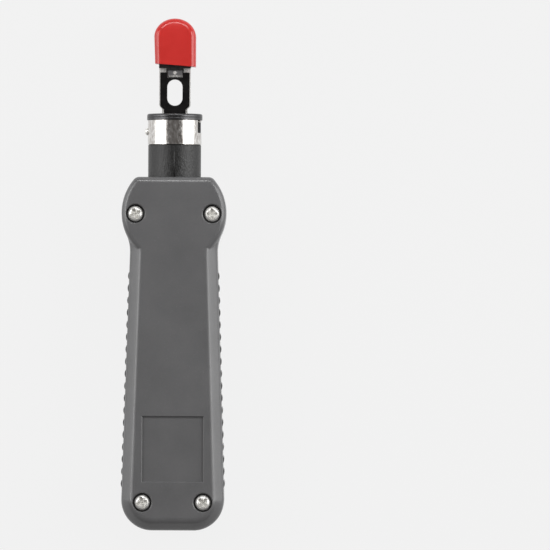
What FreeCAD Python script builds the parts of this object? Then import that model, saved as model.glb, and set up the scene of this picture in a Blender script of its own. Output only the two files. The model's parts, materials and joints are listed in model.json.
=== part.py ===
import FreeCAD
import Part
import math
import os

V = FreeCAD.Vector

# Punch down tool, millimetres. While it is modelled, Y runs from the butt of the handle to the
# tip of the cap, Z from the tool's axis to its front face, and X to the right. place() then
# moves each piece so that the tool lies on its rear face with the origin under its centre.

# ---- Handle case -------------------------------------------------------------------------
case_length = 120.0          # butt to the flat shoulder
case_thick = 25.0            # front face to rear face
case_wall = 2.2
butt_half = 17.77            # half width that the straight sides would have at the butt
waist_half = 14.93           # half width where the sides run into the head
waist_from_head = 15.5       # waist to the head's centre
head_radius = 17.75
head_from_shoulder = 12.2    # head's centre to the shoulder
butt_corner = 10.4
waist_corner = 13.5          # hollow corner between the side and the head
shoulder_corner = 2.6
grip_bevel = 3.4             # bevel along the rim of the grip and the butt
bevel_round_in = 3.2         # round between the bevel and the face
bevel_round_out = 2.4        # round between the bevel and the side
head_edge_round = 2.2
seam_width = 0.25            # groove along the joint of the two shells
seam_depth = 0.25
rib_pitch = 4.15
rib_height = 0.38
rib_radius = 2.6
rib_length = 15.0            # length of a rib through the thickness
ribs_from_butt = 15.8
ribs_below_head = 17.4
label_width = 20.6           # square recess in both faces
label_height = 22.0
label_from_butt = 16.7
label_depth = 0.7
label_bevel = 0.28           # bevel round the recess's rim

# ---- Case screws and nuts (M3) -----------------------------------------------------------
screw_radius = 1.45
screw_head_radius = 2.65
screw_head_round = 1.5
screw_head_height = 2.2
screw_head_sunk = 0.2
screw_recess_span = 3.8
screw_recess_width = 1.05
screw_recess_depth = 1.5
nut_flats = 5.5
nut_height = 2.4
nut_thread_radius = 1.5
counterbore_radius = 3.2
counterbore_bevel = 0.3
hole_clearance = 0.2
nut_clearance = 0.12
boss_radius = 4.2
top_screw_inset = 4.73       # from the head's side
top_screw_drop = 0.3         # below the head's centre
bottom_screw_inset = 7.47    # from the line of the straight side
bottom_screw_y = 9.6
nut_chamfer = 0.45
recess_turns = (25.0, 0.0, 15.0, 45.0)

# ---- Running and seating clearances ------------------------------------------------------
run = 0.07                   # radial clearance of a sliding fit
seat_gap = 0.05              # gap between a moving piece and its stop
loose = 0.25                 # gap round a piece that never touches
pin_sunk = 0.2               # cross pins end this far inside the hole's mouth

# ---- Plunger: black sleeve, silver band, blade socket, striker rod ----------------------
press_travel = 9.0
sleeve_radius = 9.0
sleeve_out = 11.2            # sleeve showing above the shoulder
sleeve_flange = 0.62         # how far the flange stands out from the sleeve
flange_thick = 2.0
sleeve_chamfer = 0.35
spigot_height = 2.6          # step on which the band sits
band_over_sleeve = 0.125     # band's radius above the sleeve's
band_wall = 1.3
band_height = 8.2
window_low = 3.9             # window's lower edge above the sleeve's shoulder
window_height = 3.7
window_from = -23.0          # window's end, degrees from +X towards the front
notch_degrees = 12.0         # entry notch that joins the window to the band's rim
band_pin_radius = 0.9
band_pin_height = 4.3        # above the sleeve's shoulder
band_pin_head = 1.25
band_pin_stands = 0.95
socket_radius = 6.0
socket_bore_depth = 8.5
rod_radius = 4.0
rod_grip = 8.0               # striker rod inside the socket
stem_radius = 2.0
rod_pin_radius = 1.0
bush_wall = 1.35
bush_length = 5.0
lip_thick = 2.2              # case wall above the neck bush

# ---- Hammer, sear and springs ------------------------------------------------------------
return_length = 15.0
return_wire = 1.0
return_radius = 6.0
return_turns = 4.0
washer_thick = 1.0
tube_radius = 8.0
tube_wall = 1.5
anvil_stands = 0.5           # anvil face above the guide tube's end
strike_gap = 0.45            # hammer to anvil when the plunger is fully pressed
hammer_length = 24.0
sear_height = 4.0
sear_width = 7.0
sear_from_top = 4.0
sear_shift = 2.6
sear_tail = 2.0              # sear behind the axis at rest
sear_web = 0.5               # hammer wall behind the sear spring
stem_bore_clearance = 0.2
stem_overrun = 1.0
main_wire = 1.4
main_fit = 0.8               # main spring to the guide tube's bore
main_turns = 9.0
sear_wire = 0.35
sear_spring_radius = 1.2
sear_turns = 3.0
plug_seat = 17.0             # rear plug's lower face above the butt
plug_flange = 3.0
plug_stub = 5.0
plug_pin_radius = 1.0
bearing_length = 5.0
cam_width = 7.0
cam_back = 1.5               # strip behind the ramp's highest point
cam_ear = 5.0                # length of the lower ear below the tube's slot
cam_ear_thick = 2.0
slot_overrun = 1.2           # tube's slot beyond the sear's travel
cam_screw_radius = 0.95
cam_screw_head = 1.7
cam_screw_head_height = 1.2
cradle_thick = 2.4

# ---- Lock ring ---------------------------------------------------------------------------
disc_over_band = 0.3
disc_height = 2.2
disc_cover = 1.25            # upper layer of the disc
disc_round = 0.6
drum_groove = 0.85
key_degrees = 11.0
key_gap = 1.0                # degrees between the key and the window's ends
lock_turn = 40.0

# ---- Blade -------------------------------------------------------------------------------
shank_radius = 2.5           # round end of the blade in the socket
tang_width = 7.4
neck_width = 8.7             # steel showing beside the tang
tang_in_drum = 2.0
tail_half = 2.6              # tail of the insertion blade inside the tang
tail_depth = 2.6
neck_height = 1.6
core_thick = 1.0
plate_thick = 1.1
plate_width = 9.95
plate_round = 0.7            # at the ends of the cut corners
steel_stands = 0.35          # steel core beyond the plates at each side
plate_above_slot = 2.35      # black plate above the window, up to the bright steel
plate_chamfer = 1.1
slot_width = 5.2
slot_height = 8.95
slot_from_plate = 1.2
clip_wire = 0.8
clip_groove = 0.5            # depth of the shank's groove
clip_height = 3.0            # clip above the socket's floor
clip_open = 60.0             # degrees
rivet_radius = 0.6
rivet_from_slot = 0.85       # rivets beside the window
rivet_in_slot = (0.3, 0.75)  # rivets above the window's lower end and below its upper end

# ---- Insertion blade and cutter ----------------------------------------------------------
steel_height = 1.5           # steel showing between the plates and the collar
collar_height = 3.0
collar_thick = 3.9
collar_stands = 0.45         # collar beyond the plates at each side
collar_side = 1.0            # collar's wall beside the steel
tip_height = 10.8
tip_half = 2.8
tip_slot = 1.2
tip_slot_depth = 5.0
cutter_thick = 0.8
cutter_half = 2.4
cutter_base_half = 0.8       # half height of the cutter's base
cutter_arm = 0.9
cutter_length = 11.5
cutter_hook = 1.6
cutter_swing = 12.0
collar_leg = 0.32            # collar's legs beside the cutter's base
pivot_radius = 0.6
leaf_thick = 0.35
leaf_gap = 0.1

# ---- Cap ---------------------------------------------------------------------------------
cap_height = 16.0
cap_dome = 6.5
cap_wall = 1.4
cap_face_wall = 2.4
cap_side_fit = 0.33          # cap's inside to the collar's sides
cap_fit = 0.15               # cap's inside to the collar's faces
cap_round = 2.2
cap_crown = 1.3              # how far each face falls towards the tip
cap_hem_slant = 1.1
cap_on_collar = 2.1          # collar covered by the cap

# ---- Places that follow from the sizes above ---------------------------------------------
half_thick = case_thick / 2
head_y = case_length - head_from_shoulder
waist_y = head_y - waist_from_head
top_screw_x = head_radius - top_screw_inset
top_screw_y = head_y - top_screw_drop
bottom_screw_x = butt_half - bottom_screw_inset
lean = (butt_half - waist_half) / waist_y
bush_top = case_length - lip_thick
bush_low = bush_top - bush_length
flange_top = bush_low - seat_gap
flange_low = flange_top - flange_thick
flange_radius = sleeve_radius + sleeve_flange
bush_radius = sleeve_radius + run + bush_wall
sleeve_top = case_length + sleeve_out
band_top = sleeve_top + band_height
band_radius = sleeve_radius + band_over_sleeve
disc_radius = band_radius + disc_over_band
band_inner = band_radius - band_wall
spigot_top = sleeve_top + spigot_height
window_y = sleeve_top + window_low
window_to = window_from + key_degrees + lock_turn + 2 * key_gap
disc_top = band_top + disc_height
plate_low = disc_top + neck_height
plate_top = plate_low + slot_from_plate + slot_height + plate_above_slot
collar_low = plate_top + steel_height
collar_top = collar_low + collar_height
tip_top = collar_top + tip_height
pivot_y = plate_top - seat_gap
washer_top = flange_low - return_length
tube_top = washer_top - washer_thick
tube_inner = tube_radius - tube_wall
main_radius = tube_inner - main_fit - main_wire / 2
anvil_y = tube_top + anvil_stands
hammer_top = anvil_y - press_travel - strike_gap
hammer_low = hammer_top - hammer_length
hammer_radius = tube_inner - run
sear_top = hammer_top - sear_from_top
sear_low = sear_top - sear_height
ramp_slope = sear_shift / press_travel
sear_reach = hammer_radius + sear_shift + ramp_slope * sear_height / 2
plug_top = plug_seat + plug_flange + plug_stub
bearing_low = hammer_top + seat_gap
bearing_bore = rod_radius + 0.2
socket_low = flange_top
socket_floor = spigot_top - socket_bore_depth
slot_low = sear_low - press_travel - slot_overrun
slot_high = sear_top + slot_overrun
cam_low = slot_low - cam_ear
cam_outer = sear_reach + (slot_high - sear_low - sear_height / 2) * ramp_slope + cam_back
bearing_top = bearing_low + bearing_length
cam_screw_ys = (slot_low - cam_ear / 2, bearing_low + bearing_length / 2)
stack_half = core_thick / 2 + plate_thick
clip_y = socket_floor + clip_height
tang_low = band_top - tang_in_drum
collar_half = plate_width / 2 + collar_stands
cap_half = collar_half + cap_side_fit + cap_wall
cap_half_thick = collar_thick / 2 + cap_fit + cap_face_wall
cap_low = collar_top - cap_on_collar
total_length = cap_low + cap_height
screw_places = (
    (-top_screw_x, top_screw_y), (top_screw_x, top_screw_y),
    (-bottom_screw_x, bottom_screw_y), (bottom_screw_x, bottom_screw_y))


def side_x(y):
    """Half width of the case's straight side at height y."""
    return butt_half - y * lean


def ramp_x(y):
    """Face of the cam ramp, which the sear's tip follows."""
    return sear_reach - (sear_low + sear_height / 2 - y) * ramp_slope


def box(x0, x1, y0, y1, z0, z1):
    return Part.makeBox(x1 - x0, y1 - y0, z1 - z0, V(x0, y0, z0))


def rod(radius, y0, y1, x=0.0, z=0.0):
    """Cylinder along the tool's axis."""
    return Part.makeCylinder(radius, y1 - y0, V(x, y0, z), V(0, 1, 0))


def ring(outer, inner, y0, y1):
    return rod(outer, y0, y1).cut(rod(inner, y0 - 1, y1 + 1))


def pin_x(radius, x0, x1, y, z=0.0):
    return Part.makeCylinder(radius, x1 - x0, V(x0, y, z), V(1, 0, 0))


def pin_z(radius, z0, z1, x, y):
    return Part.makeCylinder(radius, z1 - z0, V(x, y, z0), V(0, 0, 1))


def slab(points, z0, z1):
    """Flat piece with an outline of straight edges."""
    corners = [V(x, y, z0) for x, y in points]
    face = Part.Face(Part.makePolygon(corners + [corners[0]]))
    return face.extrude(V(0, 0, z1 - z0))


def sector(outer, inner, y0, y1, low, high):
    """Part of a ring between two angles, measured about the axis from +X towards the front."""
    whole = ring(outer, inner, y0, y1)
    reach = 2 * outer
    middle = math.radians((low + high) / 2)
    half = math.radians((high - low) / 2)
    points = [V(0, y0, 0)]
    for angle in (middle - half, middle, middle + half):
        points.append(V(reach * math.cos(angle), y0, reach * math.sin(angle)))
    wedge = Part.Face(Part.makePolygon(points + [points[0]])).extrude(V(0, y1 - y0, 0))
    return whole.common(wedge)


def edges_where(shape, test):
    return [e for e in shape.Edges if test(e)]


def along_z(edge):
    a, b = edge.Vertexes[0].Point, edge.Vertexes[-1].Point
    return abs(a.x - b.x) < 1e-6 and abs(a.y - b.y) < 1e-6 and abs(a.z - b.z) > 0.9


def on_plane_z(edge, z):
    return all(abs(abs(v.Point.z) - z) < 1e-6 for v in edge.Vertexes) and not along_z(edge)


def coil(radius, wire, y0, y1, turns):
    """Round-wire coil spring between two seats, standing along the tool's axis."""
    length = y1 - y0 - wire
    helix = Part.makeHelix(length / turns, length, radius)
    section = Part.Wire(Part.makeCircle(wire / 2, V(radius, 0, 0), V(0, 1, 0)))
    spring = Part.Wire(helix.Edges).makePipeShell([section], True, True)
    spring.rotate(V(0, 0, 0), V(1, 0, 0), -90)
    spring.translate(V(0, y0 + wire / 2, 0))
    return spring


# ---- Case shells -------------------------------------------------------------------------
def case_outline(inset, half, shoulder):
    """Prism of the case's outline, set in by inset, between -half and half."""
    shift = inset * math.hypot(1, lean)
    low, top = inset, case_length - inset
    grip = slab([(shift - side_x(low), low), (side_x(low) - shift, low),
                 (side_x(head_y) - shift, head_y), (shift - side_x(head_y), head_y)],
                -half, half)
    head = pin_z(head_radius - inset, -half, half, 0, head_y)
    body = grip.fuse(head).removeSplitter()
    body = body.cut(box(-case_length, case_length, top, 2 * case_length, -case_length, case_length))
    corners = edges_where(body, lambda e: along_z(e) and e.Vertexes[0].Point.y < low + 0.5)
    body = body.makeFillet(butt_corner - inset, corners)
    corners = edges_where(body, lambda e: along_z(e) and case_length / 2
                          < e.Vertexes[0].Point.y < head_y)
    body = body.makeFillet(waist_corner + inset, corners)
    corners = edges_where(body, lambda e: along_z(e) and e.Vertexes[0].Point.y > top - 0.5)
    return body.makeFillet(shoulder, corners)


def case_core(inset):
    """The case's form set in all round by inset, with the bevel at the same wall thickness."""
    half = half_thick - inset
    body = case_outline(inset, half, grip_bevel)
    bevel = grip_bevel - inset * (2 - math.sqrt(2))
    return body.makeChamfer(bevel, edges_where(body, lambda e: on_plane_z(e, half)))


def case_blank():
    """Solid outer form of the whole case: bevelled grip, round-edged head and side ribs."""
    body = case_outline(0.0, half_thick, 2 * grip_bevel)
    body = body.makeChamfer(grip_bevel, edges_where(body, lambda e: on_plane_z(e, half_thick)))
    for z, radius in ((half_thick, bevel_round_in), (half_thick - grip_bevel, bevel_round_out)):
        body = body.makeFillet(radius, edges_where(body, lambda e: on_plane_z(e, z)))
    head = pin_z(head_radius - 0.02, -half_thick, half_thick, 0, head_y)
    head = head.cut(box(-case_length, case_length, case_length, 2 * case_length,
                        -case_length, case_length))
    corners = edges_where(head, lambda e: along_z(e)
                          and e.Vertexes[0].Point.y > case_length - 0.5)
    head = head.makeFillet(shoulder_corner, corners)
    head = head.makeFillet(head_edge_round, edges_where(head, lambda e: on_plane_z(e, half_thick)))
    body = body.fuse(head).removeSplitter()
    return body.fuse(side_ribs()).removeSplitter()


def side_ribs():
    """Low round ribs on both sides of the grip, across the seam."""
    count = int((head_y - ribs_below_head - ribs_from_butt) / rib_pitch) + 1
    ribs = []
    for i in range(count):
        y = ribs_from_butt + i * rib_pitch
        for side in (-1, 1):
            x = side * (side_x(y) + rib_height - rib_radius)
            ribs.append(pin_z(rib_radius, -rib_length / 2, rib_length / 2, x, y))
    return ribs


def case_supports():
    """Bosses, cradles and the neck block, ending inside the case's wall."""
    deep = half_thick
    supports = [pin_z(boss_radius, -deep, deep, x, y) for x, y in screw_places]
    span = cam_low - plug_seat
    levels = [plug_seat - cradle_thick, plug_seat + 0.25 * span, plug_seat + 0.6 * span,
              cam_low - loose - cradle_thick, tube_top - cradle_thick]
    supports += [box(-head_radius, head_radius, y, y + cradle_thick, -deep, deep) for y in levels]
    supports.append(box(-head_radius, head_radius, bush_low, case_length, -deep, deep))
    return supports[0].fuse(supports[1:]).common(case_core(case_wall / 2))


def hexagon(flats, z0, z1, x, y):
    """Hexagonal prism with a corner towards the tip of the tool."""
    reach = flats / math.sqrt(3)
    turns = [math.radians(90 + 60 * i) for i in range(6)]
    return slab([(x + reach * math.cos(t), y + reach * math.sin(t)) for t in turns], z0, z1)


def screw_cuts(x, y):
    """Bevelled counterbore, clearance hole and nut pocket of one case screw."""
    seat = half_thick - screw_head_sunk - screw_head_height
    mouth = Part.makeCone(counterbore_radius, counterbore_radius + 2 * counterbore_bevel,
                          2 * counterbore_bevel, V(x, y, half_thick - counterbore_bevel))
    return [mouth, pin_z(counterbore_radius, seat, half_thick + 1, x, y),
            pin_z(screw_radius + hole_clearance, -half_thick - 1, half_thick, x, y),
            hexagon(nut_flats + 2 * nut_clearance, -half_thick - 1,
                    -half_thick + screw_head_sunk + nut_height, x, y)]


def label_cut(side):
    """Square recess in the front (1) or rear (-1) face, with a small bevel round its rim."""
    half, bevel = label_width / 2, label_bevel
    low, high = label_from_butt, label_from_butt + label_height
    rim = box(-half - bevel, half + bevel, low - bevel, high + bevel,
              half_thick - bevel, half_thick + bevel)
    rim = rim.makeChamfer(0.999 * bevel, edges_where(
        rim, lambda e: all(abs(v.Point.z - half_thick + bevel) < 1e-6 for v in e.Vertexes)))
    recess = rim.fuse(box(-half, half, low, high, half_thick - label_depth, half_thick + bevel))
    if side < 0:
        recess.rotate(V(0, 0, 0), V(0, 1, 0), 180)
    return recess


def case_solid():
    """The whole case with its cavity, bosses and cradles, before it is split in two."""
    blank = case_blank()
    body = blank.cut(case_core(case_wall)).fuse(case_supports())
    cuts = [rod(tube_radius, plug_seat, washer_top),
            rod(flange_radius + loose, washer_top, bush_low),
            rod(bush_radius, bush_low, bush_top),
            rod(sleeve_radius + loose, bush_top, case_length + 1)]
    cuts += [cut for x, y in screw_places for cut in screw_cuts(x, y)]
    cuts += [label_cut(1), label_cut(-1)]
    groove = box(-case_length, case_length, -1, case_length + 1, -seam_width / 2, seam_width / 2)
    cuts.append(groove.cut(case_outline(seam_depth, 1.0, shoulder_corner)))
    return body.cut(cuts)


def shells():
    body = case_solid()
    reach = 2 * case_length
    front = body.common(box(-reach, reach, -reach, reach, 0, reach))
    rear = body.common(box(-reach, reach, -reach, reach, -reach, 0))
    return {"front_shell": front, "rear_shell": rear}


# ---- Fasteners ---------------------------------------------------------------------------
def cross_recess(x, y, top, turn):
    """Phillips recess: two slots and a cone."""
    reach, width = screw_recess_span / 2, screw_recess_width / 2
    low = top - screw_recess_depth
    cross = box(-reach, reach, -width, width, low + 0.5, top + 1)
    cross = cross.fuse(box(-width, width, -reach, reach, low + 0.5, top + 1))
    cross = cross.fuse(Part.makeCone(0.2, reach * 0.7, screw_recess_depth, V(0, 0, low)))
    cross.rotate(V(0, 0, 0), V(0, 0, 1), turn)
    cross.translate(V(x, y, 0))
    return cross


def case_screw(x, y, turn):
    top = half_thick - screw_head_sunk
    head = pin_z(screw_head_radius, top - screw_head_height, top, x, y)
    head = head.makeFillet(screw_head_round, edges_where(head, lambda e: on_plane_z(e, top)))
    shank = pin_z(screw_radius, -top, top - screw_head_height, x, y)
    return head.fuse(shank).cut(cross_recess(x, y, top, turn))


def case_nut(x, y):
    low = -half_thick + screw_head_sunk
    nut = hexagon(nut_flats, low, low + nut_height, x, y)
    turned = pin_z(nut_flats / math.sqrt(3), low, low + nut_height, x, y)
    turned = turned.makeChamfer(nut_chamfer, edges_where(turned, lambda e: not along_z(e)))
    nut = nut.common(turned)
    return nut.cut(pin_z(nut_thread_radius, low - 1, low + nut_height + 1, x, y))


def fasteners():
    screws = [case_screw(x, y, turn) for (x, y), turn in zip(screw_places, recess_turns)]
    nuts = [case_nut(x, y) for x, y in screw_places]
    return {"case_screws": Part.makeCompound(screws), "case_nuts": Part.makeCompound(nuts)}


# ---- Mechanism fixed in the handle -------------------------------------------------------
def cam_screw_cuts():
    """Threaded holes of the two cam screws; the lower one stops short of the hammer."""
    low_y, high_y = cam_screw_ys
    return [pin_x(cam_screw_radius, tube_inner + seat_gap, cam_outer, low_y),
            pin_x(cam_screw_radius, bearing_bore + 2 * seat_gap, cam_outer, high_y)]


def guide_tube():
    tube = ring(tube_radius, tube_inner, plug_seat + plug_flange, tube_top)
    half = cam_width / 2 + hole_clearance
    slot = box(0, tube_radius + 1, slot_low, slot_high, -half, half)
    return tube.cut([slot, plug_pin(tube_radius + 1)] + cam_screw_cuts())


def plug_pin(reach):
    y = plug_seat + plug_flange + plug_stub / 2
    return pin_x(plug_pin_radius, -reach, reach, y)


def rear_plug():
    plug = rod(tube_radius, plug_seat, plug_seat + plug_flange)
    return plug.fuse(rod(tube_inner, plug_seat, plug_top)).cut(plug_pin(tube_radius))


def front_bearing():
    return ring(tube_inner, bearing_bore, bearing_low, bearing_top).cut(cam_screw_cuts())


def cam_strip():
    """Ramp that pushes the sear sideways, with an ear at each end on the tube."""
    inner = hammer_radius + 2 * seat_gap
    meet_y = sear_low + sear_height / 2 - (sear_reach + seat_gap - inner) / ramp_slope
    ear = tube_radius + cam_ear_thick
    high = slot_high - seat_gap
    low = slot_low + seat_gap
    strip = slab([(inner, low), (inner, meet_y), (ramp_x(high) + seat_gap, high),
                  (tube_radius, high), (tube_radius, bearing_top), (ear, bearing_top),
                  (ear, high + 0.5), (cam_outer, high), (cam_outer, low), (ear, low - 0.5),
                  (ear, cam_low), (tube_radius, cam_low), (tube_radius, low)],
                 -cam_width / 2, cam_width / 2)
    return strip.cut(cam_screw_cuts())


def cam_screws():
    ear = tube_radius + cam_ear_thick
    screws = []
    for cut in cam_screw_cuts():
        shank = cut.common(box(0, ear, -case_length, 2 * case_length, -ear, ear))
        y = cut.CenterOfMass.y
        head = pin_x(cam_screw_head, ear, ear + cam_screw_head_height, y)
        slot = box(ear + cam_screw_head_height / 2, ear + cam_screw_head_height + 1,
                   y - cam_screw_head, y + cam_screw_head, -0.25, 0.25)
        screws.append(shank.fuse(head).cut(slot))
    return Part.makeCompound(screws)


def handle_mechanism():
    return {
        "neck_bush": ring(bush_radius, sleeve_radius + run, bush_low, bush_top),
        "guide_tube": guide_tube(),
        "rear_plug": rear_plug(),
        "plug_pin": plug_pin(tube_radius - pin_sunk),
        "front_bearing": front_bearing(),
        "spring_washer": ring(tube_radius, bearing_bore, tube_top, washer_top),
        "cam_strip": cam_strip(),
        "cam_screws": cam_screws(),
        "main_spring": coil(main_radius, main_wire, plug_top, hammer_low, main_turns),
        "return_spring": coil(return_radius, return_wire, washer_top, flange_low, return_turns)}


# ---- Hammer and sear ---------------------------------------------------------------------
def hammer():
    body = rod(hammer_radius, hammer_low, hammer_top)
    bore = rod(stem_radius + stem_bore_clearance,
               sear_top - press_travel - stem_overrun, hammer_top + 1)
    half = sear_width / 2 + run
    slot = box(-sear_tail - sear_shift - seat_gap, hammer_radius + 1,
               sear_low - seat_gap, sear_top + seat_gap, -half, half)
    pocket = pin_x(sear_spring_radius + sear_wire, sear_web - hammer_radius, 0,
                   sear_low + sear_height / 2)
    return body.cut([bore, slot, pocket])


def sear_block():
    body = slab([(-sear_tail, sear_low), (ramp_x(sear_low), sear_low),
                 (ramp_x(sear_top), sear_top), (-sear_tail, sear_top)],
                -sear_width / 2, sear_width / 2)
    return body.cut(rod(stem_radius + stem_bore_clearance, sear_low - 1, sear_top + 1,
                        sear_shift))


def sear_spring():
    """Coil that pushes the sear's tip back against the ramp, lying along X."""
    spring = coil(sear_spring_radius, sear_wire, sear_tail, hammer_radius - sear_web, sear_turns)
    spring.rotate(V(0, 0, 0), V(0, 0, 1), 90)
    spring.translate(V(0, sear_low + sear_height / 2, 0))
    return spring


def firing_parts():
    return {"hammer": hammer(), "sear_block": sear_block(), "sear_spring": sear_spring()}


# ---- Plunger -----------------------------------------------------------------------------
def neck_sleeve():
    body = rod(sleeve_radius, flange_low, sleeve_top)
    body = body.makeChamfer(sleeve_chamfer, edges_where(
        body, lambda e: abs(e.Vertexes[0].Point.y - sleeve_top) < 1e-6
        and abs(e.Vertexes[-1].Point.y - sleeve_top) < 1e-6))
    body = body.fuse([rod(flange_radius, flange_low, flange_top),
                      rod(band_inner, flange_top, spigot_top)])
    return body.cut([rod(socket_radius, socket_low, spigot_top + 1),
                     rod(rod_radius + hole_clearance, flange_low - 1, socket_low)])


def band_pin_y():
    return sleeve_top + band_pin_height


def band_pin():
    """Rivet through the band; its inner end runs in the lock ring's groove."""
    inner_end = band_inner - run - drum_groove + 2 * seat_gap
    shaft = pin_x(band_pin_radius, -band_radius, -inner_end, band_pin_y())
    head = pin_x(band_pin_head, -band_radius - band_pin_stands, -band_radius, band_pin_y())
    outer = -band_radius - band_pin_stands
    head = head.makeFillet(band_pin_stands * 0.8, edges_where(
        head, lambda e: all(abs(v.Point.x - outer) < 1e-6 for v in e.Vertexes)))
    return shaft.fuse(head)


def collar_band():
    body = ring(band_radius, band_inner, sleeve_top, band_top)
    window = sector(band_radius + 1, band_inner - 1, window_y, window_y + window_height,
                    window_from, window_to)
    notch = sector(band_radius + 1, band_inner - 1, window_y, band_top + 1,
                   window_to - notch_degrees, window_to)
    return body.cut([window, notch, pin_x(band_pin_radius, -band_radius - 1, 0, band_pin_y())])


def blade_socket():
    body = rod(socket_radius, socket_low, spigot_top)
    groove = ring(shank_radius + clip_wire + loose, shank_radius,
                  clip_y - clip_wire / 2 - seat_gap, clip_y + clip_wire / 2 + seat_gap)
    return body.cut([rod(shank_radius + run, socket_floor, spigot_top + 1),
                     rod(rod_radius, socket_low - 1, socket_low + rod_grip),
                     groove, rod_pin(socket_radius + 1)])


def rod_pin(reach):
    return pin_x(rod_pin_radius, -reach, reach, socket_low + rod_grip / 2)


def striker_rod():
    anvil = rod(rod_radius, anvil_y, socket_low + rod_grip)
    stem = rod(stem_radius, sear_top + seat_gap, anvil_y)
    return anvil.fuse(stem).cut(rod_pin(socket_radius))


def blade_clip():
    """Open wire ring in the socket that snaps into the shank's groove."""
    middle = shank_radius - clip_groove + seat_gap + clip_wire / 2
    return Part.makeTorus(middle, clip_wire / 2, V(0, clip_y, 0), V(0, 1, 0),
                          0, 360, 360 - clip_open)


def plunger():
    return {
        "neck_sleeve": neck_sleeve(),
        "collar_band": collar_band(),
        "band_pin": band_pin(),
        "blade_socket": blade_socket(),
        "striker_rod": striker_rod(),
        "rod_pin": rod_pin(socket_radius - pin_sunk),
        "blade_clip": blade_clip()}


# ---- Lock ring ---------------------------------------------------------------------------
def tang_slot(y0, y1):
    """Space that the blade's flat tang needs in the ring and its cover."""
    half = tang_width / 2 + run
    return box(-half, half, y0, y1, -stack_half - run, stack_half + run)


def lock_ring():
    split = disc_top - disc_cover
    drum_radius = band_inner - run
    drum = rod(drum_radius, spigot_top + seat_gap, split)
    pin_half = band_pin_radius + loose
    groove = ring(drum_radius + 1, drum_radius - drum_groove,
                  band_pin_y() - pin_half, band_pin_y() + pin_half)
    key_low = window_from + key_gap
    key = sector(band_radius - run, band_inner - 1, window_y + seat_gap,
                 window_y + window_height - seat_gap, key_low, key_low + key_degrees)
    body = drum.cut(groove).fuse([rod(disc_radius, band_top + seat_gap, split), key])
    return body.cut([rod(shank_radius + loose, spigot_top, disc_top),
                     tang_slot(tang_low - seat_gap, disc_top + 1)])


def lock_cover():
    body = rod(disc_radius, disc_top - disc_cover, disc_top)
    body = body.makeFillet(disc_round, edges_where(
        body, lambda e: all(abs(v.Point.y - disc_top) < 1e-6 for v in e.Vertexes)))
    return body.cut([rod(shank_radius + loose, disc_top - disc_cover - 1, disc_top + 1),
                     tang_slot(disc_top - disc_cover - 1, disc_top + 1)])


# ---- Blade -------------------------------------------------------------------------------
def window_hole(z0, z1):
    """Oblong window with round ends, through the blade."""
    radius = slot_width / 2
    low = plate_low + slot_from_plate + radius
    high = plate_low + slot_from_plate + slot_height - radius
    return pin_z(radius, z0, z1, 0, low).fuse(
        [pin_z(radius, z0, z1, 0, high), box(-radius, radius, low, high, z0, z1)])


def plate_outline(half, top, z0, z1):
    """Plate with its two lower corners cut off and rounded."""
    cut = plate_chamfer
    plate = slab([(cut - half, plate_low), (half - cut, plate_low), (half, plate_low + cut),
                  (half, top), (-half, top), (-half, plate_low + cut)], z0, z1)
    return plate.makeFillet(plate_round, edges_where(
        plate, lambda e: along_z(e) and e.Vertexes[0].Point.y < plate_low + 2 * cut))


def rivet_holes():
    above, below = rivet_in_slot
    window_bottom = plate_low + slot_from_plate
    reach = slot_width / 2 + rivet_from_slot
    return [pin_z(rivet_radius, -stack_half, stack_half, x, y) for x in (-reach, reach)
            for y in (window_bottom + above, window_bottom + slot_height - below)]


def pivot_hole():
    return pin_z(pivot_radius, -stack_half, core_thick / 2 + seat_gap + cutter_thick, 0, pivot_y)


def cutter_floor():
    """Lower edge of the cutter's pocket, below the leaf spring."""
    reach = math.radians(cutter_swing)
    drop = cutter_base_half * math.cos(reach) + cutter_half * math.sin(reach)
    return pivot_y - drop - leaf_gap - leaf_thick


def blade_plate_front():
    z0, z1 = core_thick / 2, stack_half
    pocket = box(-cutter_half - loose, cutter_half + loose, cutter_floor(), plate_top + 1,
                 z0 - 1, z1 + 1)
    return plate_outline(plate_width / 2, plate_top, z0, z1).cut([window_hole(z0 - 1, z1 + 1), pocket]
                                                + rivet_holes())


def blade_plate_rear():
    z0, z1 = -stack_half, -core_thick / 2
    plate = plate_outline(plate_width / 2, collar_low, z0, z1)
    return plate.cut([window_hole(z0 - 1, z1 + 1), pivot_hole()] + rivet_holes())


def blade_shank():
    """Round shank with the clip groove, and the tang that holds the insertion blade's tail."""
    groove = ring(shank_radius + 1, shank_radius - clip_groove,
                  clip_y - clip_wire / 2 - seat_gap, clip_y + clip_wire / 2 + seat_gap)
    shank = rod(shank_radius, socket_floor + seat_gap, tang_low + 1).cut(groove)
    tang = box(-tang_width / 2, tang_width / 2, tang_low, plate_low, -stack_half, stack_half)
    z0, z1 = -core_thick / 2, core_thick / 2
    tail = box(-tail_half, tail_half, plate_low - tail_depth, plate_low + 1, z0, z1)
    neck = box(-tang_width, tang_width, disc_top + 2 * seat_gap, plate_low + 1, z0, z1)
    return shank.fuse(tang).cut([tail, neck])


def insertion_blade():
    """Steel core: tail in the tang, frame round the window, collar seat and slotted tip."""
    z0, z1 = -core_thick / 2, core_thick / 2
    seat, neck = collar_half - collar_side, neck_width / 2
    body = plate_outline(plate_width / 2 + steel_stands, collar_low, z0, z1).fuse([
        box(-neck, neck, disc_top + 2 * seat_gap, plate_low + plate_chamfer, z0, z1),
        box(-tail_half, tail_half, plate_low - tail_depth, plate_low + 1, z0, z1),
        box(-seat, seat, collar_low - 1, collar_top, z0, z1),
        box(-tip_half, tip_half, collar_top - 1, tip_top, z0, z1)]).removeSplitter()
    slot = box(-tip_slot / 2, tip_slot / 2, tip_top - tip_slot_depth, tip_top + 1, z0 - 1, z1 + 1)
    return body.cut([window_hole(z0 - 1, z1 + 1), slot, pivot_hole()] + rivet_holes())


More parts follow.
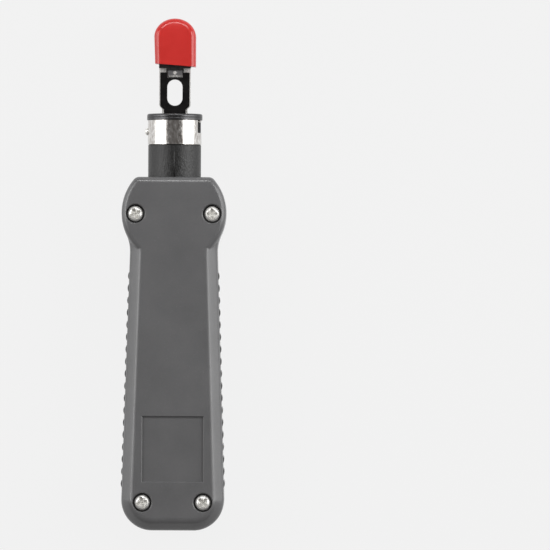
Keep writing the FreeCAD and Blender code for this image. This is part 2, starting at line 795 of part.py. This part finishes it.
def cutter_lever():
    """Cutter on its pivot: base, arm and hooked tip, in front of the steel core."""
    z0 = core_thick / 2 + seat_gap
    z1 = z0 + cutter_thick
    tip = pivot_y + cutter_length
    base = box(-cutter_half, cutter_half, pivot_y - cutter_base_half,
               pivot_y + cutter_base_half, z0, z1)
    arm = box(-cutter_arm, cutter_arm, pivot_y, tip, z0, z1)
    hook = slab([(cutter_arm, tip - 2 * cutter_hook), (cutter_arm + cutter_hook, tip - cutter_hook),
                 (cutter_arm, tip)], z0, z1)
    hole = pin_z(pivot_radius + run, z0 - 1, z1 + 1, 0, pivot_y)
    return base.fuse([arm, hook]).cut(hole).removeSplitter()


def cutter_spring():
    """Leaf under the cutter's base."""
    z0 = core_thick / 2 + seat_gap
    low = cutter_floor()
    leaf = box(-cutter_half, cutter_half, low, low + leaf_thick, z0, z0 + cutter_thick)
    foot = box(-cutter_half, -cutter_half + leaf_thick, low, pivot_y - cutter_base_half - leaf_gap,
               z0, z0 + cutter_thick)
    return leaf.fuse(foot).removeSplitter()


def collar_guard():
    """Legs beside the cutter's base and the lip that joins them over its arm."""
    inner = cutter_half + loose
    outer = inner + collar_leg
    over = core_thick / 2 + 2 * seat_gap + cutter_thick
    guard = box(-outer, outer, pivot_y + cutter_base_half, collar_low + 1, over, collar_thick / 2)
    legs = [box(x0, x1, plate_top + seat_gap, collar_low + 1, core_thick / 2, over + seat_gap)
            for x0, x1 in ((-outer, -inner), (inner, outer))]
    return guard.fuse(legs)


def tip_collar():
    """Black collar that holds the steel and leaves a channel for the cutter's arm."""
    half, thick = collar_half, collar_thick / 2
    seat = half - collar_side
    body = box(-half, half, collar_low, collar_top, -thick, thick).fuse(collar_guard())
    core = box(-seat, seat, collar_low - 1, collar_top + 1, -core_thick / 2, core_thick / 2)
    swing = (collar_top - pivot_y) * math.sin(math.radians(cutter_swing))
    channel = box(-cutter_arm - swing - loose, cutter_arm + loose, collar_low - 1, collar_top + 1,
                  0, core_thick / 2 + 2 * seat_gap + cutter_thick)
    return body.cut([core, channel])


def blade():
    return {
        "blade_shank": blade_shank(),
        "insertion_blade": insertion_blade(),
        "blade_plate_front": blade_plate_front(),
        "blade_plate_rear": blade_plate_rear(),
        "blade_rivets": Part.makeCompound(rivet_holes()),
        "tip_collar": tip_collar(),
        "cutter_pivot": pivot_hole(),
        "cutter_spring": cutter_spring(),
        "cutter_lever": cutter_lever()}


# ---- Cap ---------------------------------------------------------------------------------
def dome_outline(half, dome, low_left, low_right, top, z0, z1):
    """Outline with a half-elliptical top and a slanted lower edge."""
    spring_y = top - dome
    if half > dome:
        arc = Part.Ellipse(V(0, spring_y, z0), half, dome).toShape(0, math.pi)
    else:
        tall = Part.Ellipse(V(0, top, z0), V(-half, spring_y, z0), V(0, spring_y, z0))
        arc = tall.toShape(-math.pi / 2, math.pi / 2)
    sides = [Part.makeLine(V(half, low_right, z0), V(half, spring_y, z0)),
             Part.makeLine(V(-half, spring_y, z0), V(-half, low_left, z0)),
             Part.makeLine(V(-half, low_left, z0), V(half, low_right, z0))]
    wire = Part.Wire(Part.__sortEdges__(sides + [arc]))
    return Part.Face(wire).extrude(V(0, 0, z1 - z0))


def cap_profile(half, thick):
    """Side view of the cap: straight faces that curve in towards the tip."""
    low, bend, tip = cap_low - cap_hem_slant, total_length - cap_dome, total_length + 1
    fall = cap_crown * ((tip - bend) / cap_dome) ** 2
    drop = (tip - bend) / 2
    edges = [Part.makeLine(V(0, low, -thick), V(0, low, thick))]
    for side in (-1, 1):
        start, end = V(0, bend, side * thick), V(0, tip, side * (thick - fall))
        middle = V(0, bend + drop, side * (thick - fall / 4))
        edges.append(Part.makeLine(V(0, low, side * thick), start))
        edges.append(Part.Arc(start, middle, end).toShape())
    edges.append(Part.makeLine(V(0, tip, fall - thick), V(0, tip, thick - fall)))
    face = Part.Face(Part.Wire(Part.__sortEdges__(edges)))
    return face.extrude(V(2 * half + 2, 0, 0)).translated(V(-half - 1, 0, 0))


def blade_cap():
    half, thick = cap_half, cap_half_thick
    slant = cap_hem_slant / 2
    body = dome_outline(half, cap_dome, cap_low + slant, cap_low - slant, total_length,
                        -thick, thick).common(cap_profile(half, thick))
    body = body.makeFillet(cap_round, edges_where(
        body, lambda e: abs(e.Vertexes[0].Point.z - e.Vertexes[1].Point.z) < 1e-6
        and (e.Curve.TypeId != "Part::GeomLine" or e.BoundBox.XLength < 1e-6)))
    deep = collar_thick / 2 + cap_fit
    cavity = dome_outline(half - cap_wall, cap_dome - cap_wall, cap_low - cap_hem_slant,
                          cap_low - cap_hem_slant, total_length - cap_wall, -deep, deep)
    return body.cut(cavity)


def place(shape):
    """Move a modelled piece into the part's own frame: lying on its rear face, centred."""
    return shape.translated(V(0, -total_length / 2, half_thick))


def main():
    pieces = {}
    pieces.update(shells())
    pieces.update(fasteners())
    pieces.update(handle_mechanism())
    pieces.update(firing_parts())
    pieces.update(plunger())
    pieces.update({"lock_ring": lock_ring(), "lock_cover": lock_cover()})
    pieces.update(blade())
    pieces["blade_cap"] = blade_cap()
    os.makedirs("parts", exist_ok=True)
    for name, shape in pieces.items():
        place(shape).exportStep("parts/" + name + ".step")
        print(name, len(shape.Solids), shape.isValid(), round(shape.Volume, 2))
    print("length", total_length)


main()
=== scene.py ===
import json
import math

import bmesh
import bpy
from mathutils import Matrix, Vector

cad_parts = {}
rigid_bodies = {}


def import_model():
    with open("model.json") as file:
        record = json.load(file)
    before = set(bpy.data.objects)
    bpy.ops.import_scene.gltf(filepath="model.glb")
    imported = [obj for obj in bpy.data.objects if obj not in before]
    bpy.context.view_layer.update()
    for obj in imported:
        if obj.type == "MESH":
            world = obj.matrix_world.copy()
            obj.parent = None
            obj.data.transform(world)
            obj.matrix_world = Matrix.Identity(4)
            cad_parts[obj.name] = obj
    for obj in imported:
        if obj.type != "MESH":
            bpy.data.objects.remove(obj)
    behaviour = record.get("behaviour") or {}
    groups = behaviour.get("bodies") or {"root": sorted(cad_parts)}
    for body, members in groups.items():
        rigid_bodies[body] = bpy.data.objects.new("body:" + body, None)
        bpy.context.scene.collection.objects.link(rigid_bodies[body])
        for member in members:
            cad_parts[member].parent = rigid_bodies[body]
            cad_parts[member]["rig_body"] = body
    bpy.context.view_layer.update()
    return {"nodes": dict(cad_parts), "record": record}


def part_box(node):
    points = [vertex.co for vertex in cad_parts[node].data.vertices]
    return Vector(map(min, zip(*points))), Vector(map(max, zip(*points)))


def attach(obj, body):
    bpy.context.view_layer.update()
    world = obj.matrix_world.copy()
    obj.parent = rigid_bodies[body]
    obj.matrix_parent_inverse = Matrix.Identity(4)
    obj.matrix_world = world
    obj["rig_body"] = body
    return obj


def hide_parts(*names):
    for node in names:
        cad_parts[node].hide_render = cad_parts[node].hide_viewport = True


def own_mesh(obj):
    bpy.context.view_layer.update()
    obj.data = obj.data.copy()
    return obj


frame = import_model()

# Punch down tool: a moulded handle, a sprung neck with a locking collar, an insertion blade and
# its push-on cap. It lies on its rear face. +Y runs to the cap and +Z out of the front face.

MM = 0.001


# ---- Helpers -----------------------------------------------------------------------------
def srgb(code):
    """Linear RGBA of an sRGB hex colour."""
    def channel(text):
        value = int(text, 16) / 255
        return value / 12.92 if value <= 0.04045 else ((value + 0.055) / 1.055) ** 2.4
    return (channel(code[0:2]), channel(code[2:4]), channel(code[4:6]), 1.0)


def add(tree, kind, settings=None, values=None, links=None):
    """Adds a node with its settings, socket values and incoming links."""
    made = tree.nodes.new(kind)
    for name, value in (settings or {}).items():
        setattr(made, name, value)
    for socket, value in (values or {}).items():
        made.inputs[socket].default_value = value
    for socket, source in (links or {}).items():
        tree.links.new(source, made.inputs[socket])
    return made


def material(name):
    """New material with its Principled shader; returns the material, its tree and the shader."""
    made = bpy.data.materials.new(name)
    made.use_nodes = True
    tree = made.node_tree
    return made, tree, tree.nodes["Principled BSDF"]


def object_point(tree):
    return add(tree, "ShaderNodeTexCoord").outputs["Object"]


def per_size(size_mm):
    """Noise scale whose features are size_mm across, with coordinates in metres."""
    return 1.0 / (size_mm * MM)


def ramp(tree, factor, stops):
    """Colour ramp through (place, linear colour) stops."""
    made = add(tree, "ShaderNodeValToRGB", links={"Fac": factor})
    elements = made.color_ramp.elements
    while len(elements) < len(stops):
        elements.new(0.5)
    for element, (place, colour) in zip(elements, stops):
        element.position = place
        element.color = colour
    return made.outputs["Color"]


def noise(tree, point, size_mm, detail=3.0, rough=0.5):
    made = add(tree, "ShaderNodeTexNoise",
               values={"Scale": per_size(size_mm), "Detail": detail, "Roughness": rough},
               links={"Vector": point})
    return made.outputs["Fac"]


def bump(tree, height, depth_mm, strength, normal=None):
    links = {"Height": height}
    if normal is not None:
        links["Normal"] = normal
    made = add(tree, "ShaderNodeBump", values={"Distance": depth_mm * MM, "Strength": strength},
               links=links)
    return made.outputs["Normal"]


# ---- Materials ---------------------------------------------------------------------------
def spread(tree, value, low, high, start=0.3, end=0.7):
    """Values from start to end mapped to low to high."""
    made = add(tree, "ShaderNodeMapRange",
               values={"From Min": start, "From Max": end, "To Min": low, "To Max": high},
               links={"Value": value})
    return made.outputs["Result"]


def moulded_abs():
    """Grey ABS from a spark-eroded mould: matt, with a fine even grain and faint flow marks."""
    made, tree, shader = material("moulded_abs")
    point = object_point(tree)
    flow = noise(tree, point, 14.0, 3.0)
    fleck = noise(tree, point, 0.55, 3.0, 0.6)
    tone = add(tree, "ShaderNodeMath", {"operation": "MULTIPLY_ADD"}, {1: 0.35},
               {0: fleck, 2: flow}).outputs[0]
    colour = ramp(tree, tone, [(0.45, srgb("5a5a5b")), (0.9, srgb("626263"))])
    # The real grain is about 0.05 mm; it is drawn coarser so that it shows.
    grain = noise(tree, point, 0.3, 4.0, 0.6)
    tree.links.new(colour, shader.inputs["Base Color"])
    tree.links.new(spread(tree, grain, 0.2, 0.28), shader.inputs["Roughness"])
    tree.links.new(bump(tree, grain, 0.006, 0.3), shader.inputs["Normal"])
    shader.inputs["IOR"].default_value = 1.52
    return made


def filled_nylon():
    """Black glass-filled nylon: semi-matt and mottled where the fibres reach the skin."""
    made, tree, shader = material("filled_nylon")
    point = object_point(tree)
    mottle = noise(tree, point, 0.9, 5.0, 0.75)
    fibre = noise(tree, add(tree, "ShaderNodeMapping", {"vector_type": "POINT"},
                            {"Scale": (1.0, 0.3, 1.0)}, {"Vector": point}).outputs["Vector"],
                  0.45, 3.0, 0.6)
    colour = ramp(tree, mottle, [(0.3, srgb("080808")), (0.7, srgb("161616"))])
    tree.links.new(colour, shader.inputs["Base Color"])
    tree.links.new(spread(tree, mottle, 0.32, 0.5), shader.inputs["Roughness"])
    tree.links.new(bump(tree, fibre, 0.14, 0.7, bump(tree, mottle, 0.2, 0.6)),
                   shader.inputs["Normal"])
    shader.inputs["IOR"].default_value = 1.53
    return made


def metal(name, colour, rough, streak_mm, streak_depth, stretch=(1.0, 1.0, 1.0), bare=1.0):
    """Metal with fine working marks, stretched along one axis; bare is below 1 when frosted."""
    made, tree, shader = material(name)
    point = object_point(tree)
    mapped = add(tree, "ShaderNodeMapping", {"vector_type": "POINT"},
                 {"Scale": stretch}, {"Vector": point})
    marks = noise(tree, mapped.outputs["Vector"], streak_mm, 4.0, 0.6)
    tone = ramp(tree, marks, [(0.3, srgb(colour[0])), (0.7, srgb(colour[1]))])
    tree.links.new(tone, shader.inputs["Base Color"])
    tree.links.new(spread(tree, marks, rough[0], rough[1]), shader.inputs["Roughness"])
    tree.links.new(bump(tree, marks, streak_depth, 0.5), shader.inputs["Normal"])
    shader.inputs["Metallic"].default_value = bare
    return made


def soft_vinyl():
    """Red dipped vinyl: satin, slightly translucent, with a faint orange-peel skin."""
    made, tree, shader = material("soft_vinyl")
    point = object_point(tree)
    cloud = noise(tree, point, 5.0, 2.0)
    colour = ramp(tree, cloud, [(0.3, srgb("bb2c28")), (0.7, srgb("c1302c"))])
    peel = noise(tree, point, 1.2, 3.0)
    tree.links.new(colour, shader.inputs["Base Color"])
    tree.links.new(bump(tree, peel, 0.012, 0.3), shader.inputs["Normal"])
    shader.inputs["Roughness"].default_value = 0.2
    shader.inputs["IOR"].default_value = 1.5
    shader.inputs["Subsurface Weight"].default_value = 0.1
    shader.inputs["Subsurface Radius"].default_value = (1.0, 0.3, 0.2)
    shader.inputs["Subsurface Scale"].default_value = 0.8 * MM
    return made


def black_oxide():
    """Blackened steel: near black, semi-gloss, with a slightly oily skin."""
    made, tree, shader = material("black_oxide")
    point = object_point(tree)
    cloud = noise(tree, point, 1.5, 3.0)
    colour = ramp(tree, cloud, [(0.3, srgb("040404")), (0.7, srgb("0a0808"))])
    tree.links.new(colour, shader.inputs["Base Color"])
    tree.links.new(bump(tree, cloud, 0.008, 0.3), shader.inputs["Normal"])
    tree.links.new(spread(tree, cloud, 0.32, 0.42), shader.inputs["Roughness"])
    shader.inputs["Specular IOR Level"].default_value = 0.3
    return made


case_finish = moulded_abs()
nylon_finish = filled_nylon()
oxide_finish = black_oxide()
cap_finish = soft_vinyl()
# Frosted zinc: pale and soft, with dull spots where the plating is thicker.
zinc_finish = metal("zinc_plate", ("e6e5e1", "fbfaf6"), (0.22, 0.42), 0.7, 0.03, bare=0.55)
# Polished nickel: near mirror, so that it shows bright bands between darker ones.
nickel_finish = metal("polished_nickel", ("b4aea9", "e9e8e6"), (0.13, 0.27), 0.8, 0.014,
                      (1.0, 0.45, 1.0))
# Dark plated steel: dull grey sheen, turned round its edge.
disc_finish = metal("dark_plate", ("4b4b4c", "59595a"), (0.3, 0.4), 0.6, 0.004, (0.5, 3.0, 0.5))
# Ground steel: even mid grey with fine lines along the tool.
ground_finish = metal("ground_steel", ("9a9a9c", "a8a8aa"), (0.35, 0.45), 0.4, 0.002,
                      (1.0, 0.1, 1.0))
# Bright stamped steel: nearly white, slightly mottled.
bright_finish = metal("bright_steel", ("dcdad6", "fffefb"), (0.4, 0.6), 0.5, 0.03,
                      (1.0, 0.5, 1.0), bare=0.5)
# Drawn spring wire: smooth grey with a sharp thin highlight.
wire_finish = metal("spring_wire", ("8f8f8f", "a5a5a5"), (0.2, 0.34), 0.3, 0.005)
# Turned brass: warm yellow with rings from the lathe.
brass_finish = metal("turned_brass", ("b08f4a", "c2a05a"), (0.22, 0.34), 0.3, 0.005,
                     (1.0, 4.0, 1.0))


# ---- Pieces that carry the CAD shape with smooth shading ---------------------------------
def merged_copy(node, finish, edge_mm=0.0, body=None, crease=30.0):
    """The node's shape as one welded mesh, smooth over curves, its edges broken by edge_mm."""
    source = frame["nodes"][node]
    limit = math.radians(crease)
    mesh = bmesh.new()
    mesh.from_mesh(source.data)
    bmesh.ops.remove_doubles(mesh, verts=mesh.verts, dist=0.0005 * MM)
    bmesh.ops.dissolve_degenerate(mesh, dist=0.0005 * MM, edges=mesh.edges)
    if edge_mm:
        bmesh.ops.dissolve_limit(mesh, angle_limit=math.radians(0.2), verts=mesh.verts,
                                 edges=mesh.edges)
        sharp = [edge for edge in mesh.edges if edge.calc_face_angle(0.0) > limit]
        bmesh.ops.bevel(mesh, geom=sharp, offset=edge_mm * MM, segments=2, profile=0.5,
                        affect="EDGES", material=-1, clamp_overlap=True)
    for face in mesh.faces:
        face.smooth = True
    for edge in mesh.edges:
        edge.smooth = edge.is_manifold and edge.calc_face_angle(0.0) < limit
    data = bpy.data.meshes.new(node + "_skin")
    mesh.to_mesh(data)
    mesh.free()
    piece = bpy.data.objects.new(node + "_skin", data)
    bpy.context.scene.collection.objects.link(piece)
    data.materials.append(finish)
    weigh = piece.modifiers.new("face_weight", "WEIGHTED_NORMAL")
    weigh.keep_sharp = True
    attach(piece, body or source["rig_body"])
    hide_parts(node)
    return piece


slots = {row["node"]: row["material_slot"] for row in frame["record"]["subparts"]}
finishes = {
    "case": case_finish, "black_plastic": nylon_finish, "plated_steel": zinc_finish,
    "band": nickel_finish, "disc": disc_finish, "steel": ground_finish,
    "bright_steel": bright_finish, "spring_steel": wire_finish, "black_steel": oxide_finish,
    "brass": brass_finish, "cap": cap_finish}


def link_piece(name, mesh, finish, body):
    """Finished bmesh as a piece of its own, with no CAD node behind it."""
    bmesh.ops.recalc_face_normals(mesh, faces=mesh.faces)
    for face in mesh.faces:
        face.smooth = True
    data = bpy.data.meshes.new(name)
    mesh.to_mesh(data)
    mesh.free()
    piece = bpy.data.objects.new(name, data)
    bpy.context.scene.collection.objects.link(piece)
    data.materials.append(finish)
    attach(piece, body)


def sleeve_seams():
    """Low mould ridges along the front and the back of the black sleeve."""
    low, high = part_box("neck_sleeve")
    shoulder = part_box("front_shell")[1][1]
    band_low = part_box("collar_band")[0][1]
    middle = (low[2] + high[2]) / 2
    flange_stands = 0.62 * MM
    radius = (high[2] - low[2]) / 2 - flange_stands
    wire, sunk = 0.25 * MM, 0.19 * MM
    mesh = bmesh.new()
    for side in (-1, 1):
        end = bmesh.ops.create_circle(mesh, cap_ends=True, segments=12, radius=wire)
        bmesh.ops.rotate(mesh, verts=end["verts"], matrix=Matrix.Rotation(math.radians(90), 3, "X"))
        bmesh.ops.translate(mesh, verts=end["verts"],
                            vec=(0, shoulder - 1.5 * MM, middle + side * (radius - sunk)))
        face = end["verts"][0].link_faces[0]
        pulled = bmesh.ops.extrude_face_region(mesh, geom=[face])
        tips = [item for item in pulled["geom"] if isinstance(item, bmesh.types.BMVert)]
        bmesh.ops.translate(mesh, verts=tips, vec=(0, band_low - shoulder + 1.1 * MM, 0))
    link_piece("sleeve_seams", mesh, nylon_finish, "plunger")


def settle_cap(piece):
    """The soft cap draws in a little towards its hem on the left."""
    low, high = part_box("blade_cap")
    pull, length = 0.42 * MM, 0.75 * (high[1] - low[1])
    for vertex in piece.data.vertices:
        x, y, _ = vertex.co
        share = max(0.0, 1.0 - (y - low[1]) / length) * max(0.0, x / low[0])
        vertex.co.x = x + pull * share


broken_edges = {
    "collar_band": 0.12, "lock_ring": 0.1, "lock_cover": 0.08, "tip_collar": 0.15,
    "blade_plate_front": 0.12, "blade_plate_rear": 0.12, "insertion_blade": 0.08,
    "cutter_lever": 0.08, "blade_shank": 0.12, "case_screws": 0.07, "blade_cap": 0.22}
springs = ("main_spring", "return_spring", "sear_spring")
own_finish = {"cutter_lever": ground_finish, "cutter_pivot": bright_finish,
              "band_pin": zinc_finish}
skins = {}
for node, slot in slots.items():
    if node not in springs:
        skins[node] = merged_copy(node, own_finish.get(node, finishes[slot]),
                                  broken_edges.get(node, 0.0))
sleeve_seams()
settle_cap(skins["blade_cap"])


def sprung(node, body):
    """A spring as one welded, smooth-shaded copy with mesh data of its own, riding on body."""
    piece = merged_copy(node, wire_finish, body=body)
    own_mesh(piece)


sprung("return_spring", "plunger")
sprung("main_spring", "hammer")
sprung("sear_spring", "hammer")


# ---- Floor, lights and camera ------------------------------------------------------------
image_width = 550
step_mm = 0.34               # width of the view, divided by image_width
floor_gap = 0.2              # floor below the rear face, mm


def floor():
    """Plain pale floor that mostly glows by itself, so that it stays even."""
    made, _, shader = material("studio_floor")
    shader.inputs["Base Color"].default_value = srgb("303030")
    shader.inputs["Roughness"].default_value = 0.9
    shader.inputs["Specular IOR Level"].default_value = 0.0
    shader.inputs["Emission Color"].default_value = srgb("f1f1f1")
    shader.inputs["Emission Strength"].default_value = 0.97
    mesh = bmesh.new()
    bmesh.ops.create_grid(mesh, x_segments=1, y_segments=1, size=3.0)
    data = bpy.data.meshes.new("floor")
    mesh.to_mesh(data)
    mesh.free()
    piece = bpy.data.objects.new("floor", data)
    bpy.context.scene.collection.objects.link(piece)
    piece.location = (0, 0, -floor_gap * MM)
    data.materials.append(made)


def softbox(name, place, target, size, power):
    lamp = bpy.data.lights.new(name, "AREA")
    lamp.shape = "RECTANGLE"
    lamp.size, lamp.size_y = size
    lamp.energy = power
    piece = bpy.data.objects.new(name, lamp)
    bpy.context.scene.collection.objects.link(piece)
    piece.location = place
    aim = Vector(target) - Vector(place)
    piece.rotation_mode = "QUATERNION"
    piece.rotation_quaternion = aim.to_track_quat("-Z", "Y")


def camera():
    lens = bpy.data.cameras.new("camera")
    lens.sensor_width = 36.0
    lens.lens = 400.0
    lens.clip_start, lens.clip_end = 0.05, 20.0
    piece = bpy.data.objects.new("camera", lens)
    bpy.context.scene.collection.objects.link(piece)
    field = image_width * step_mm * MM
    height = field * lens.lens / lens.sensor_width
    # The width of the view is taken 17.5 mm above the rear face.
    piece.location = (34.4 * MM, -0.15 * MM, 17.5 * MM + height)
    piece.rotation_mode = "QUATERNION"
    piece.rotation_quaternion = Matrix.Rotation(math.radians(0.27), 3, "Z").to_quaternion()
    bpy.context.scene.camera = piece


def studio():
    world = bpy.data.worlds.new("studio")
    world.use_nodes = True
    world.node_tree.nodes["Background"].inputs["Color"].default_value = srgb("fffaf7")
    world.node_tree.nodes["Background"].inputs["Strength"].default_value = 0.15
    bpy.context.scene.world = world
    view = bpy.context.scene.view_settings
    view.view_transform = "Standard"
    view.look = "None"
    # Big boxes light the sides; a narrow strip above each draws the thin lines along the edges.
    softbox("left_box", (-0.90, 0.2, 0.44), (0, 0, 0), (0.75, 1.1), 6.0)
    softbox("right_box", (0.90, 0.2, 0.44), (0, 0, 0), (0.75, 1.1), 8.4)
    softbox("left_strip", (-0.86, 0.25, 0.74), (0, 0, 0), (0.9, 0.12), 2.0)
    softbox("right_strip", (0.86, 0.25, 0.74), (0, 0, 0), (0.9, 0.12), 1.4)
    softbox("far_strip", (0.0, 0.74, 0.66), (0, 0.03, 0), (0.8, 0.12), 4.4)


floor()
studio()
camera()
